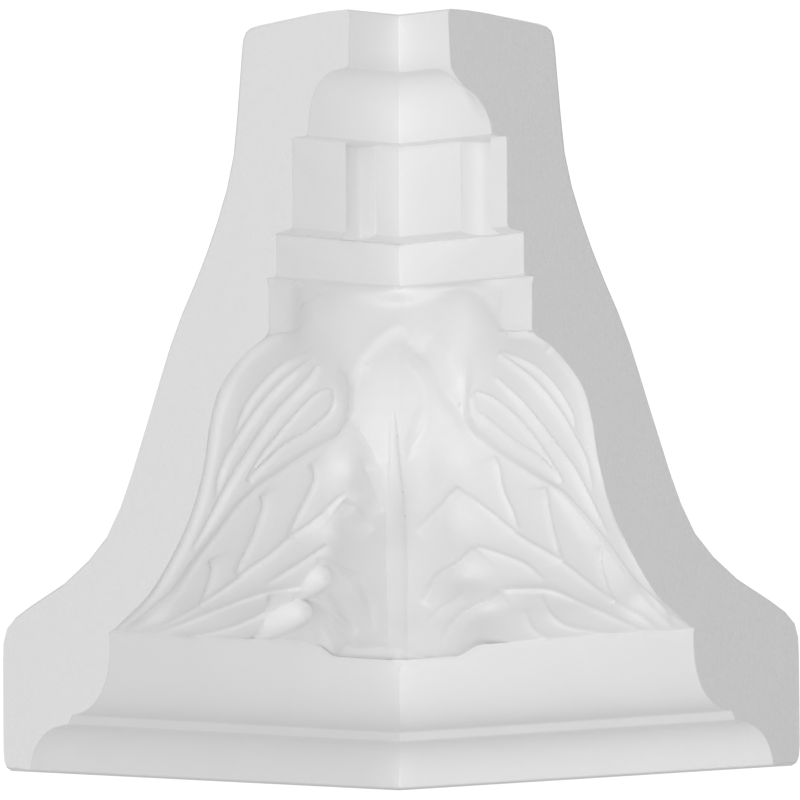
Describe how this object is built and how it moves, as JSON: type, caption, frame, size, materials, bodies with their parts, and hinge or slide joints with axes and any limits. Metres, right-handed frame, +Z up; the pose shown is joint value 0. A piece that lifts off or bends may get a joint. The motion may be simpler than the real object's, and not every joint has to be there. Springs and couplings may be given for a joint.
{
  "type": "inside corner moulding",
  "caption": "Inside corner block of a carved crown moulding: two short mitred legs with dentils and acanthus leaves that meet in a concave fold, cut square at both ends.",
  "frame": {"origin": "room corner at the foot of the block: where the planes of the two walls meet, at the height of its lower edge", "axes": "+Z up to the ceiling; the right leg lies on the wall plane y = 0 and runs along +X, the left leg lies on the wall plane x = 0 and runs along -Y, and the carved fold faces the room towards +X and -Y"},
  "size_m": [0.125, 0.125, 0.1605],
  "materials": {
    "primed_foam": "white factory primer on moulded rigid polyurethane foam, matte with a faint sheen, fine sandy grain on the sawn end faces"
  },
  "bodies": {
    "root": {"inside_corner_moulding": "primed_foam"}
  },
  "joints": []
}
